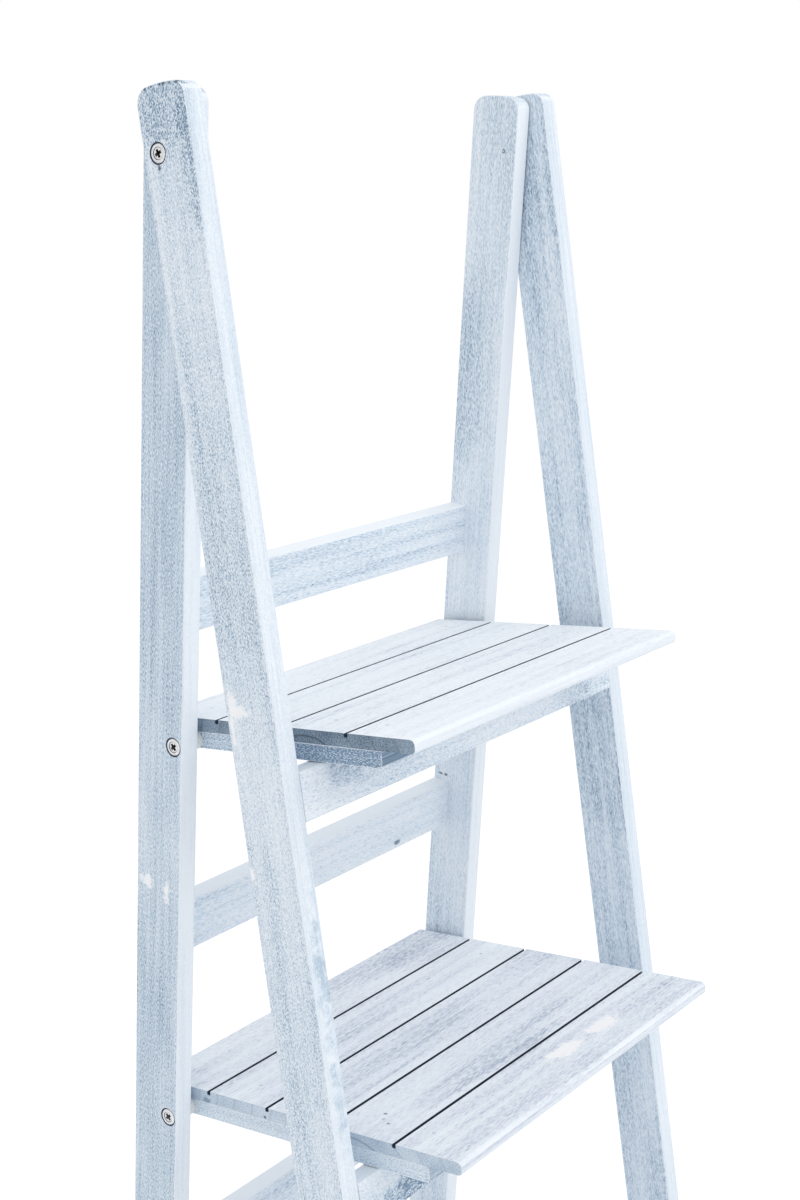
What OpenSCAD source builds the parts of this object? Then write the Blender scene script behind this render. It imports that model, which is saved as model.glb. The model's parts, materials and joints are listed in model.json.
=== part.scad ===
// Folding plant ladder stand in whitewashed wood. A front and a rear frame of flat boards turn on
// two screws near their tops. Three shelves of grooved board pivot on the rear frame and rest on the
// rails of the front frame; raised, they lie between the rails and the frames close flat.
// Millimetres. X runs across the stand, -Y is the front, Z is up and the floor is Z = 0. The origin
// is the middle of the floor area under the stand.

/* [Boards] */
// Width of the leg boards, seen from the side
leg_w = 35; // [34:0.5:45]
// Thickness of the legs and rails
stock_t = 13.5; // [12:0.5:14.5]
// Radius of the eased long edges of the legs and rails
edge_r = 1.2; // [0.6:0.2:2.4]
// Radius of the arch of a leg's top
head_arch_r = 100; // [60:5:200]
// Radius of the rear corner of a leg's top
head_rear_r = 9; // [3:1:12]
// Radius of the front corner of a leg's top
head_front_r = 8; // [2:1:12]
// Length of leg above the top pivots
head_run = 34; // [25:1:50]

/* [Frames] */
// Overall width, over the outer faces of the front legs
stand_w = 337; // [280:1:450]
// Lean of the front legs from upright, in degrees
front_lean = 2.3; // [1:0.1:4]
// Lean of the rear legs from upright, in degrees
rear_lean = 10.7; // [9:0.1:13]
// Gap between a front leg and the rear leg beside it
leg_gap = 1; // [0.8:0.1:3]
// Height of the lowest front rail's lower edge above the floor
foot_h = 88; // [60:1:140]
// Distance of the top pivots from the front legs' rear edges
front_pivot_inset = 10.3; // [9:0.1:12]
// Distance of the top pivots from the rear legs' front edges
rear_pivot_inset = 9.1; // [8.5:0.1:10.5]

/* [Rails] */
// Height of the front rails, which carry the shelves
front_rail_h = 28; // [24:1:34]
// Height of the rear rails
rear_rail_h = 33; // [25:1:40]
// Rise of the top rear rail's upper edge over the top shelf's pivots
top_rail_rise = 91.5; // [70:0.5:120]
// Rise of the middle rear rail's upper edge over the middle shelf's pivots
middle_rail_rise = 128; // [90:0.5:160]
// Rise of the bottom rear rail's upper edge over the bottom shelf's pivots
bottom_rail_rise = 175; // [120:0.5:220]

/* [Shelves] */
// Distance down the rear legs from the top pivots to the top shelf's pivots
top_shelf_drop = 328; // [290:1:380]
// Number of strips that the grooves mark out on the top, middle and bottom shelf
strip_count = [4, 5, 6]; // [3:1:7]
// Width of a strip
strip_w = 45.6; // [38:0.2:52]
// Width of a groove
groove_w = 2.4; // [1.4:0.2:5]
// Depth of a groove
groove_h = 2.4; // [1:0.2:4]
// Thickness of a shelf board
board_t = 8; // [6:0.5:9]
// Radius of a shelf board's rear edges
board_rear_r = 1; // [0.5:0.25:2]
// Radius of a shelf board's front edges
nose_r = 3; // [1.5:0.25:3]
// Height of the cleats under the shelf boards
cleat_h = 10; // [9:0.5:11]
// Width of the cleats
cleat_w = 26; // [20:1:34]
// Distance of a cleat's front end from its shelf's front edge
cleat_setback = 23; // [10:1:30]
// Radius of a cleat's lower front corner
cleat_nose_r = 4; // [1:0.5:8]
// Length of shelf behind its pivots
shelf_tail = 28; // [18:1:34]
// Distance of the shelf pivots from the rear legs' front edges
shelf_pivot_inset = 6.6; // [6.3:0.1:7.5]
// Gap between a shelf's end and the rear leg beside it
shelf_gap = 4.5; // [1.5:0.5:8]

/* [Clearances] */
// Gap between a cleat and the front rail it rests on
seat_gap = 0.3; // [0.2:0.1:0.6]
// Extra length that lets a shelf's front edge swing past the front rail above it
tip_clear = 1.2; // [0.8:0.1:6]
// Gap between two raised shelves, end to end
end_clear = 2.7; // [1.5:0.1:8]
// Radial running clearance of a screw in the board that turns on it
run_clear = 0.08; // [0.03:0.01:0.1]
// Gap between a washer or spacer and the face that turns against it
face_clear = 0.2; // [0.1:0.05:0.3]
// Room around a screw head in its countersink
head_clear = 0.7; // [0.4:0.1:0.9]

/* [Screws and washers] */
// Diameter of the pivot screws
screw_d = 5; // [4:0.5:5.5]
// Diameter of their countersunk heads
screw_head_d = 10; // [8:0.5:10.5]
// Length of a screw's point
screw_point = 4; // [2:0.5:6]
// Length of the screws through the legs at the top pivots
top_screw_l = 30; // [29:0.5:34]
// Length of the screws that carry the shelves
shelf_screw_l = 34; // [30:0.5:37]
// Diameter of the washers between the legs
washer_d = 15; // [11:0.5:18]
// Diameter of the spacers beside the shelves
spacer_d = 11; // [8:0.5:13]
// Length of a cross recess's arms
recess_l = 5.4; // [3:0.2:6.4]
// Width of a cross recess's arms
recess_w = 1; // [0.7:0.1:1.4]
// Depth of a cross recess
recess_h = 1.8; // [1:0.1:2.2]

/* [Dowels and brads] */
// Diameter of the dowels in the rail ends
dowel_d = 6; // [4:0.5:8]
// Length of a dowel inside the leg
dowel_in_leg = 8; // [5:0.5:10]
// Length of a dowel inside the rail
dowel_in_rail = 14; // [10:0.5:20]
// Distance between the two dowels of a rail end
dowel_pitch = 14; // [12:0.5:16]
// Diameter of the brads that hold the shelf boards
brad_d = 1.4; // [1:0.1:2]
// Diameter of a brad's head
brad_head_d = 2.4; // [2.1:0.1:3]
// Thickness of a brad's head
brad_head_h = 0.6; // [0.4:0.1:1]
// Length of a brad
brad_l = 15; // [10:0.5:16]
// Distance of the brads from the cleats' inner faces, clear of the shelf screws
brad_inset = 5; // [3:0.5:7]

/* [Hidden] */
$fn = 48;
ARC_STEPS = 8;
OVERCUT = 1;
SIDES = ["left", "right"];
TIERS = ["top", "middle", "bottom"];
RAIL_RISE = [top_rail_rise, middle_rail_rise, bottom_rail_rise];

WHITEWASH = [0.80, 0.85, 0.91];
WHITEWASH_PALE = [0.88, 0.90, 0.94];
STEEL = [0.76, 0.77, 0.78];
ZINC = [0.62, 0.65, 0.68];
NYLON = [0.90, 0.90, 0.88];
BEECH = [0.80, 0.68, 0.50];

// Widths across the stand, from the middle plane
front_outer_x = stand_w / 2;
front_inner_x = front_outer_x - stock_t;
rear_outer_x = front_inner_x - leg_gap;
rear_inner_x = rear_outer_x - stock_t;
shelf_x = rear_inner_x - shelf_gap;

// Distances square to a leg, forward from the top pivots
front_leg_front = leg_w - front_pivot_inset;
rear_leg_back = leg_w - rear_pivot_inset;
shelf_pivot_fwd = rear_pivot_inset - shelf_pivot_inset;

strip_pitch = strip_w + groove_w;
cleat_low = cleat_h / 2;

function shelf_depth(t) = strip_count[t] * strip_pitch - groove_w;
function shelf_reach(t) = shelf_depth(t) - shelf_tail;

// Distance down the rear leg to a shelf's pivots. From the second tier on it leaves room for the
// raised shelf below the front rail and the raised shelf above it.
function pivot_drop(t) = t == 0
    ? top_shelf_drop
    : shelf_reach(t) + max(front_rail_drop(t - 1) + front_rail_h + tip_clear,
                           pivot_drop(t - 1) + shelf_tail + end_clear);
// A shelf's pivots, from the top pivots: forward is negative y
function pivot_y(t) = pivot_drop(t) * sin(rear_lean) - shelf_pivot_fwd * cos(rear_lean);
function pivot_z(t) = -pivot_drop(t) * cos(rear_lean) - shelf_pivot_fwd * sin(rear_lean);
// Distances down the legs to the upper edges of the rails
function front_rail_drop(t) =
    (cleat_low + seat_gap - pivot_z(t) + front_leg_front * sin(front_lean)) / cos(front_lean);
function rear_rail_drop(t) = pivot_drop(t) - RAIL_RISE[t];

// Height of the top pivots, which puts the lowest front rail foot_h above the floor
hinge_h = foot_h + (front_rail_drop(2) + front_rail_h) * cos(front_lean)
    - (front_leg_front - stock_t) * sin(front_lean);

// The stand's reach forward and back of the top pivots
front_reach = max([for (t = [0:2]) shelf_reach(t) - pivot_y(t)]);
rear_reach = hinge_h * tan(rear_lean) + rear_leg_back / cos(rear_lean);
hinge_y = (front_reach - rear_reach) / 2;

// A leg as long as this passes the floor before it is cut
leg_run = hinge_h / cos(rear_lean) + leg_w;

head_h = (screw_head_d - screw_d) / 2;
thread_r = screw_d / 2;
running_r = thread_r + run_clear;

FRAME_NODES = concat(
    [for (s = SIDES) str("rear_leg_", s)],
    [for (t = TIERS) str("rear_rail_", t)],
    ["rear_frame_dowels", "top_pivot_screws", "top_pivot_washers"],
    [for (s = SIDES) str("front_leg_", s)],
    [for (t = TIERS) str("front_rail_", t)],
    ["front_frame_dowels"]);
SHELF_NODES = [for (t = TIERS) each concat(
    [str(t, "_shelf_board")],
    [for (s = SIDES) str(t, "_shelf_cleat_", s)],
    [for (p = ["screws", "spacers", "brads"]) str(t, "_shelf_", p)])];

// ---- placing ----

module at_hinge() translate([0, hinge_y, hinge_h]) children();
module on_front_leg() at_hinge() rotate([-front_lean, 0, 0]) children();
module on_rear_leg() at_hinge() rotate([rear_lean, 0, 0]) children();
module on_shelf(t) at_hinge() translate([0, pivot_y(t), pivot_z(t)]) children();
// Turns a piece drawn for the right-hand side to side s: 0 is left, 1 is right
module to_side(s) mirror([1 - s, 0, 0]) children();
module both_sides() for (s = [0, 1]) to_side(s) children();

// ---- plain shapes ----

// A rectangle from the origin whose corners are rounded by r1 at its near side and r2 at its far side
module eased_rect(w, h, r1, r2) {
    translate([r1, 0]) square([w - r1 - r2, h]);
    translate([0, r1]) square([r1, h - 2 * r1]);
    translate([w - r2, r2]) square([r2, h - 2 * r2]);
    for (y = [r1, h - r1]) translate([r1, y]) circle(r1);
    for (y = [r2, h - r2]) translate([w - r2, y]) circle(r2);
}

// A side view, drawn with Y across and Z up, made solid from x0 to x1
module across(x0, x1) translate([x0, 0, 0]) rotate([90, 0, 90]) linear_extrude(x1 - x0) children();

// Points of an arc, without as many points at each end as skip says
function arc(c, r, a0, a1, skip = 0) = [for (i = [skip:ARC_STEPS - skip])
    c + r * [cos(a0 + (a1 - a0) * i / ARC_STEPS), sin(a0 + (a1 - a0) * i / ARC_STEPS)]];

// A countersunk wood screw along -X, its head's face at the origin
module screw(l) {
    difference() {
        union() {
            rotate([0, -90, 0]) cylinder(h = head_h, r1 = screw_head_d / 2, r2 = thread_r);
            rotate([0, -90, 0]) cylinder(h = l - screw_point, r = thread_r);
        }
        for (a = [0, 90]) rotate([a, 0, 0]) translate([-recess_h, -recess_l / 2, -recess_w / 2])
            cube([recess_h + OVERCUT, recess_l, recess_w]);
    }
    translate([screw_point - l, 0, 0]) rotate([0, -90, 0]) cylinder(h = screw_point, r1 = thread_r, r2 = 0);
}

// The hole for a screw that enters a board's outer face at the origin: a countersink and a bore
module screw_hole(depth, r) {
    sink = OVERCUT + screw_head_d / 2 + head_clear - r;
    translate([OVERCUT, 0, 0]) rotate([0, -90, 0]) {
        cylinder(h = sink, r1 = r + sink, r2 = r);
        cylinder(h = depth + OVERCUT, r = r);
    }
}

module ring(d, bore_r, x0, x1) translate([x0, 0, 0]) rotate([0, 90, 0]) difference() {
    cylinder(h = x1 - x0, r = d / 2);
    translate([0, 0, -OVERCUT]) cylinder(h = x1 - x0 + 2 * OVERCUT, r = bore_r);
}

// ---- legs and rails ----

// A head corner of radius r meets the arch: height of its middle over the arch's, and the angle there
function corner_rise(r) = sqrt(pow(head_arch_r - r, 2) - pow(leg_w / 2 - r, 2));
function corner_angle(r) = atan2(corner_rise(r), leg_w / 2 - r);

module leg_side(fwd, back) {
    arch_z = head_run - head_arch_r;
    rear_a = corner_angle(head_rear_r);
    front_a = 180 - corner_angle(head_front_r);
    polygon(concat(
        [[-fwd, -leg_run], [back, -leg_run]],
        arc([back - head_rear_r, arch_z + corner_rise(head_rear_r)], head_rear_r, 0, rear_a),
        arc([(back - fwd) / 2, arch_z], head_arch_r, rear_a, front_a, 1),
        arc([head_front_r - fwd, arch_z + corner_rise(head_front_r)], head_front_r, front_a, 180)));
}

// A leg board on the right-hand side, with eased long edges, before it is cut at the floor
module leg_board(fwd, back, x0, x1) intersection() {
    across(x0, x1) leg_side(fwd, back);
    translate([x0, -fwd, -leg_run]) linear_extrude(leg_run + head_run)
        eased_rect(x1 - x0, fwd + back, edge_r, edge_r);
}

module below_floor() translate([-stand_w, -leg_run, -leg_run]) cube([2 * stand_w, 2 * leg_run, leg_run]);

// The two dowels of a rail's right-hand end, which meets the leg at x
module dowel_pair(x, y, drop, rail_h) for (d = [-1, 1])
    translate([x - dowel_in_rail, y, d * dowel_pitch / 2 - drop - rail_h / 2])
        rotate([0, 90, 0]) cylinder(h = dowel_in_rail + dowel_in_leg, r = dowel_d / 2);

module front_dowels_side() for (t = [0:2])
    dowel_pair(front_inner_x, stock_t / 2 - front_leg_front, front_rail_drop(t), front_rail_h);
module rear_dowels_side() for (t = [0:2])
    dowel_pair(rear_inner_x, rear_leg_back - stock_t / 2, rear_rail_drop(t), rear_rail_h);

module front_leg(s) color(WHITEWASH) to_side(s) difference() {
    on_front_leg() leg_board(front_leg_front, front_pivot_inset, front_inner_x, front_outer_x);
    on_front_leg() translate([front_outer_x, 0, 0]) screw_hole(stock_t + OVERCUT, running_r);
    on_front_leg() front_dowels_side();
    below_floor();
}

module rear_leg(s) color(WHITEWASH) to_side(s) difference() {
    on_rear_leg() leg_board(rear_pivot_inset, rear_leg_back, rear_inner_x, rear_outer_x);
    on_rear_leg() translate([rear_inner_x - OVERCUT, 0, 0])
        rotate([0, 90, 0]) cylinder(h = stock_t + 2 * OVERCUT, r = thread_r);
    for (t = [0:2]) on_shelf(t) translate([rear_outer_x, 0, 0]) screw_hole(stock_t + OVERCUT, running_r);
    on_rear_leg() rear_dowels_side();
    below_floor();
}

// A rail between the inner faces of two legs, its upper edge at distance drop down them
module rail(x, y, drop, h) translate([0, y, -drop - h]) across(-x, x) eased_rect(stock_t, h, edge_r, edge_r);

module front_rail(t) color(WHITEWASH_PALE) on_front_leg() difference() {
    rail(front_inner_x, -front_leg_front, front_rail_drop(t), front_rail_h);
    both_sides() front_dowels_side();
}

module rear_rail(t) color(WHITEWASH) on_rear_leg() difference() {
    rail(rear_inner_x, rear_leg_back - stock_t, rear_rail_drop(t), rear_rail_h);
    both_sides() rear_dowels_side();
}

module front_frame_dowels() color(BEECH) on_front_leg() both_sides() front_dowels_side();
module rear_frame_dowels() color(BEECH) on_rear_leg() both_sides() rear_dowels_side();

// ---- top pivots ----

module top_pivot_screws() color(STEEL) at_hinge() both_sides()
    translate([front_outer_x, 0, 0]) rotate([20, 0, 0]) screw(top_screw_l);

module top_pivot_washers() color(ZINC) at_hinge() both_sides()
    ring(washer_d, thread_r, rear_outer_x, front_inner_x - face_clear);

// ---- shelves, drawn around their pivots ----

// Middle of the part of strip i that lies on the cleats; strip 1 is the front one
function bearing_y(t, i) = (max((i - 1) * strip_pitch, cleat_setback) + (i - 1) * strip_pitch + strip_w) / 2
    - shelf_reach(t);

// Puts a piece where each of a shelf's brads stands, its head at the board's face
module at_brads(t) for (side = [-1, 1], i = [1:strip_count[t]])
    translate([side * (shelf_x - cleat_w + brad_inset), bearing_y(t, i), cleat_low + board_t]) children();

module brad() {
    translate([0, 0, -brad_head_h]) cylinder(h = brad_head_h, r = brad_head_d / 2);
    translate([0, 0, -brad_l]) cylinder(h = brad_l, r = brad_d / 2);
}

module board_side(t) difference() {
    eased_rect(shelf_depth(t), board_t, nose_r, board_rear_r);
    for (i = [1:strip_count[t] - 1])
        translate([i * strip_pitch - groove_w, board_t - groove_h]) square([groove_w, groove_h + OVERCUT]);
}

module shelf_board(t) color(WHITEWASH_PALE) on_shelf(t) difference() {
    translate([0, -shelf_reach(t), cleat_low]) across(-shelf_x, shelf_x) board_side(t);
    at_brads(t) brad();
}

module shelf_cleat(t, s) color(WHITEWASH) on_shelf(t) difference() {
    to_side(s) difference() {
        across(shelf_x - cleat_w, shelf_x) cleat_side(t);
        translate([rear_outer_x - shelf_screw_l, 0, 0]) rotate([0, 90, 0])
            cylinder(h = shelf_screw_l, r = thread_r);
    }
    at_brads(t) brad();
}

module cleat_side(t) {
    front = cleat_setback - shelf_reach(t);
    polygon(concat(
        [[shelf_tail, -cleat_low], [shelf_tail, cleat_low], [front, cleat_low]],
        arc([front + cleat_nose_r, cleat_nose_r - cleat_low], cleat_nose_r, 180, 270)));
}

module shelf_screws(t) color(STEEL) on_shelf(t) both_sides()
    translate([rear_outer_x, 0, 0]) rotate([35, 0, 0]) screw(shelf_screw_l);

module shelf_spacers(t) color(NYLON) on_shelf(t) both_sides()
    ring(spacer_d, thread_r, shelf_x, rear_inner_x - face_clear);

module shelf_brads(t) color(ZINC) on_shelf(t) at_brads(t) brad();

// ---- the nodes ----

for (s = [0, 1]) {
    rear_leg(s);
    front_leg(s);
}
for (t = [0:2]) {
    rear_rail(t);
    front_rail(t);
    shelf_board(t);
    for (s = [0, 1])
        shelf_cleat(t, s);
    shelf_screws(t);
    shelf_spacers(t);
    shelf_brads(t);
}
rear_frame_dowels();
front_frame_dowels();
top_pivot_screws();
top_pivot_washers();
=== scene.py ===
import json
import math

import bmesh
import bpy
from bpy.props import FloatProperty, FloatVectorProperty, IntProperty, PointerProperty
from bpy.types import Operator, Panel, PropertyGroup
from mathutils import Matrix, Vector


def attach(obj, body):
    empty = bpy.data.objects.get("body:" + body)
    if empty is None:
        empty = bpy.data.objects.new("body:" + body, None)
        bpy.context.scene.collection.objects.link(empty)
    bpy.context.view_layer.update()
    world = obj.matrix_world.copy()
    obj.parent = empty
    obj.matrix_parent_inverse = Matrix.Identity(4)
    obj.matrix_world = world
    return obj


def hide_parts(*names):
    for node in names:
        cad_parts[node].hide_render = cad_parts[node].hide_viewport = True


bl_info = {
    "name": "Folding Ladder Stand",
    "version": (1, 0, 0),
    "blender": (4, 5, 0),
    "location": "View3D > Sidebar > Ladder Stand",
    "description": "Models a whitewashed folding plant stand round its packed frame",
    "category": "Object",
}

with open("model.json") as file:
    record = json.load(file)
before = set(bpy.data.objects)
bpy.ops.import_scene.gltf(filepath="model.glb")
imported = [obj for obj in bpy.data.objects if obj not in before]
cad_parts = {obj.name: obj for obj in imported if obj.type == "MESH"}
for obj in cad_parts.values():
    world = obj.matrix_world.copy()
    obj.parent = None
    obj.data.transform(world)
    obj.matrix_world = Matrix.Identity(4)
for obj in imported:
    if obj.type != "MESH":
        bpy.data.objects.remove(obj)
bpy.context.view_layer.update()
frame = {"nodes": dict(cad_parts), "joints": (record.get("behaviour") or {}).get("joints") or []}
NODES = frame["nodes"]

SIDES = ("left", "right")
TIERS = ("top", "middle", "bottom")
MM = 0.001
# Two measures that differ by less are the same
TOLERANCE = 0.02 * MM

# ---- where things are, from the frame: metres and radians ----

JOINTS = {joint["name"]: joint for joint in frame["joints"]}
HINGE = Vector(JOINTS["frame_fold"]["pos_m"])
SHELF_PIVOTS = {tier: Vector(JOINTS[f"{tier}_shelf_lift"]["pos_m"]) for tier in TIERS}
# A raised shelf is parallel to the rear legs, and the closed front legs are too
REAR_LEAN = math.radians(90 - JOINTS["top_shelf_lift"]["range_deg"][1])
FRONT_LEAN = math.radians(JOINTS["frame_fold"]["range_deg"][1]) - REAR_LEAN
# From the upright axes of a frame's boards to the stand's
PLACES = {which: Matrix.Translation(HINGE) @ Matrix.Rotation(lean, 4, "X")
          for which, lean in (("front", -FRONT_LEAN), ("rear", REAR_LEAN))}
LEVEL = Matrix.Identity(4)


def extent(node, place=LEVEL):
    """Lowest and highest corner of a node, measured along the axes of place."""
    back = place.inverted()
    points = [back @ vertex.co for vertex in NODES[node].data.vertices]
    low, high = (Vector([end(point[axis] for point in points) for axis in range(3)])
                 for end in (min, max))
    return low, high


def shade(red, green, blue):
    """A colour as it is seen on a screen, 0 to 255, as Blender's linear one."""
    linear = []
    for part in (red, green, blue):
        part /= 255
        linear.append(part / 12.92 if part <= 0.04045 else ((part + 0.055) / 1.055) ** 2.4)
    return tuple(linear)


# ---- what a user would change ----


def length_setting(name, description, default, low, high):
    """A length that a user can set, given here in millimetres."""
    return FloatProperty(name=name, description=description, default=default * MM, min=low * MM,
                         max=high * MM, subtype="DISTANCE", unit="LENGTH")


def colour_setting(name, description, *seen):
    """A colour that a user can set, given here as it is seen on a screen."""
    return FloatVectorProperty(name=name, description=description, default=shade(*seen), min=0, max=1,
                               size=3, subtype="COLOR")


class StandBoards(PropertyGroup):
    """How the boards are shaped."""

    edge_radius: length_setting(
        "Edge radius", "Radius of the eased edges of legs and rails", 1.2, 0.2, 3)
    head_arch_radius: length_setting(
        "Head arch radius", "Radius of the arch of a leg's top", 100, 40, 200)
    head_rear_radius: length_setting(
        "Rear head radius", "Radius of the rear corner of a leg's top", 9, 1, 12)
    head_front_radius: length_setting(
        "Front head radius", "Radius of the front corner of a leg's top", 8, 1, 12)
    nose_radius: length_setting("Nose radius", "Radius of the shelf boards' front edges", 3, 0.5, 3.9)
    shelf_rear_radius: length_setting(
        "Shelf rear radius", "Radius of the shelf boards' rear edges", 1, 0.2, 2)
    groove_lip: length_setting(
        "Groove lip", "Radius of the shelf boards' ends and groove lips", 0.35, 0.1, 0.8)
    cleat_nose_radius: length_setting(
        "Cleat nose radius", "Radius of a cleat's lower front corner", 4, 0.5, 8)


class StandScrews(PropertyGroup):
    """The pivot screws and the holes they sit in."""

    head_diameter: length_setting("Head diameter", "Diameter of the countersunk heads", 10, 8, 10.5)
    shank_diameter: length_setting("Shank diameter", "Diameter over the thread", 5, 4, 5.5)
    head_room: length_setting("Head room", "Gap between a head and its countersink", 0.8, 0.3, 1)
    thread_pitch: length_setting("Thread pitch", "Distance between two turns of the thread", 2.2, 1, 3)
    thread_steps: IntProperty(
        name="Thread steps", description="Facets in one turn of the thread",
        default=20, min=8, max=48)


class StandFinish(PropertyGroup):
    """The colours of the whitewashed wood and the metal."""

    dense_wash: colour_setting("Dense wash", "Where the wash lies thick", 239, 244, 249)
    even_wash: colour_setting("Even wash", "The wash on most of a leg or rail", 214, 226, 237)
    thin_wash: colour_setting("Thin wash", "Where the wash is rubbed thin", 177, 195, 211)
    stain: colour_setting("Stain", "The blue-grey stain that shows through", 112, 137, 163)
    grey_wash: colour_setting("Grey wash", "Where the wash of a shelf board is thin", 192, 201, 216)
    # Set near black: unwashed wood together with painted shade, for the shadow in grooves and screw holes
    bare_and_shaded: colour_setting("Bare wood", "Unwashed wood in the grooves and holes", 38, 52, 76)
    steel: colour_setting("Steel", "The screws", 232, 233, 234)


class StandStage(PropertyGroup):
    """The studio round the stand."""

    sky: FloatProperty(
        name="Sky light", description="Strength of the even light from all round",
        default=0.96, min=0, max=2)
    key: FloatProperty(
        name="Key light", description="Power of the large lamp at the front",
        default=17, min=0, max=200, subtype="POWER", unit="POWER")
    floor_colour: colour_setting("Floor", "The floor's own colour", 236, 237, 239)
    lens: FloatProperty(
        name="Lens", description="Focal length of the camera",
        default=53.42, min=20, max=120, subtype="DISTANCE_CAMERA")


class StandSettings(PropertyGroup):
    """All that can be set."""

    boards: PointerProperty(type=StandBoards)
    screws: PointerProperty(type=StandScrews)
    finish: PointerProperty(type=StandFinish)
    stage: PointerProperty(type=StandStage)


def settings():
    """What the panel holds: the defaults, until a user changes them."""
    return bpy.context.scene.ladder_stand


# ---- modelling, as by hand ----

# Edges that turn by more than the first are eased, and by less than the second are smoothed
EASED_ABOVE = math.radians(35)
SMOOTHED_BELOW = math.radians(32)
ROUND_SIDES = 48


def deselect():
    """Leaves edit mode and selects nothing."""
    if bpy.context.object and bpy.context.object.mode != "OBJECT":
        bpy.ops.object.mode_set(mode="OBJECT")
    bpy.ops.object.select_all(action="DESELECT")


def keep_only(*objects):
    """Selects these objects and makes the last of them active."""
    deselect()
    for obj in objects:
        obj.select_set(True)
    bpy.context.view_layer.objects.active = objects[-1]


def settle(obj, place=LEVEL):
    """Puts an object where place says and moves its place into its mesh."""
    keep_only(obj)
    obj.matrix_world = place @ obj.matrix_world
    bpy.ops.object.transform_apply(location=True, rotation=True, scale=True)


def block(name, low, high):
    """A block between two corners."""
    deselect()
    bpy.ops.mesh.primitive_cube_add(size=1, location=(low + high) / 2)
    obj = bpy.context.object
    obj.name = obj.data.name = name
    obj.scale = high - low
    settle(obj)
    return obj


def pick(obj, mode, test):
    """Goes into edit mode and selects the edges or faces that pass the test.

    The next step that selects an object leaves edit mode again."""
    keep_only(obj)
    bpy.ops.object.mode_set(mode="EDIT")
    bpy.ops.mesh.select_mode(type=mode)
    bpy.ops.mesh.select_all(action="DESELECT")
    mesh = bmesh.from_edit_mesh(obj.data)
    for part in (mesh.edges if mode == "EDGE" else mesh.faces):
        if test(part):
            part.select_set(True)
    bmesh.update_edit_mesh(obj.data)


def near(value, wanted):
    return abs(value - wanted) < TOLERANCE


def round_edges(obj, test, radius, segments):
    """Rounds the edges whose two ends pass the test."""
    pick(obj, "EDGE", lambda edge: all(test(vertex.co) for vertex in edge.verts))
    bpy.ops.mesh.bevel(offset=radius, segments=segments, profile=0.5, affect="EDGES")


def apply_modifier(obj, name, kind, **options):
    """Adds a modifier to an object, sets its options and applies it."""
    keep_only(obj)
    modifier = obj.modifiers.new(name, kind)
    for option, value in options.items():
        setattr(modifier, option, value)
    bpy.ops.object.modifier_apply(modifier=modifier.name)


def ease_outline(obj, radius, segments=3):
    """Eases every sharp edge that is left."""
    apply_modifier(obj, "Eased edges", "BEVEL", width=radius, segments=segments,
                   limit_method="ANGLE", angle_limit=EASED_ABOVE)


def cut(obj, cutter):
    """Takes the cutter's shape out of an object."""
    apply_modifier(obj, "Cut", "BOOLEAN", operation="DIFFERENCE", solver="EXACT", object=cutter)


def discard(obj):
    bpy.data.objects.remove(obj)


def joined(name, parts):
    """Makes one object of several."""
    keep_only(*parts)
    bpy.ops.object.join()
    obj = bpy.context.object
    obj.name = obj.data.name = name
    return obj


def copied(obj, place):
    """A copy with a mesh of its own, at another place."""
    twin = obj.copy()
    twin.data = obj.data.copy()
    bpy.context.scene.collection.objects.link(twin)
    settle(twin, place)
    return twin


def extrude_up(distance):
    """Extrudes what is selected in edit mode along Z."""
    bpy.ops.mesh.extrude_region_move(TRANSFORM_OT_translate={"value": (0, 0, distance)})


def turned(name, rings):
    """A closed round shape about Z, drawn ring by ring as (radius, height)."""
    deselect()
    radius, height = rings[0]
    bpy.ops.mesh.primitive_circle_add(
        vertices=ROUND_SIDES, radius=radius, fill_type="NGON", location=(0, 0, height))
    obj = bpy.context.object
    obj.name = obj.data.name = name
    settle(obj)
    pick(obj, "FACE", lambda face: True)
    for next_radius, next_height in rings[1:]:
        extrude_up(next_height - height)
        grow = next_radius / radius
        bpy.ops.transform.resize(value=(grow, grow, 1), center_override=(0, 0, next_height))
        radius, height = next_radius, next_height
    close_up(obj)
    return obj


def close_up(obj):
    """Fills what an extrusion or a winding left open, and points the faces outwards."""
    pick(obj, "EDGE", lambda edge: edge.is_boundary)
    if any(edge.is_boundary for edge in bmesh.from_edit_mesh(obj.data).edges):
        bpy.ops.mesh.edge_face_add()
    bpy.ops.mesh.select_all(action="SELECT")
    bpy.ops.mesh.normals_make_consistent(inside=False)


def smooth(obj):
    """Smooths the roundings and leaves flat faces flat."""
    keep_only(obj)
    bpy.ops.object.shade_smooth_by_angle(angle=SMOOTHED_BELOW)
    apply_modifier(obj, "Flat faces stay flat", "WEIGHTED_NORMAL", keep_sharp=True)


# ---- what each face of a board is, for its finish ----

FACE_KINDS = ("narrow_side", "eased_edge", "end_grain", "bare_shaded_wood")
# How far a face's normal reaches along an axis: at least, for an end and for a side
END_NORMAL = 0.7
SIDE_NORMAL = 0.93


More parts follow.
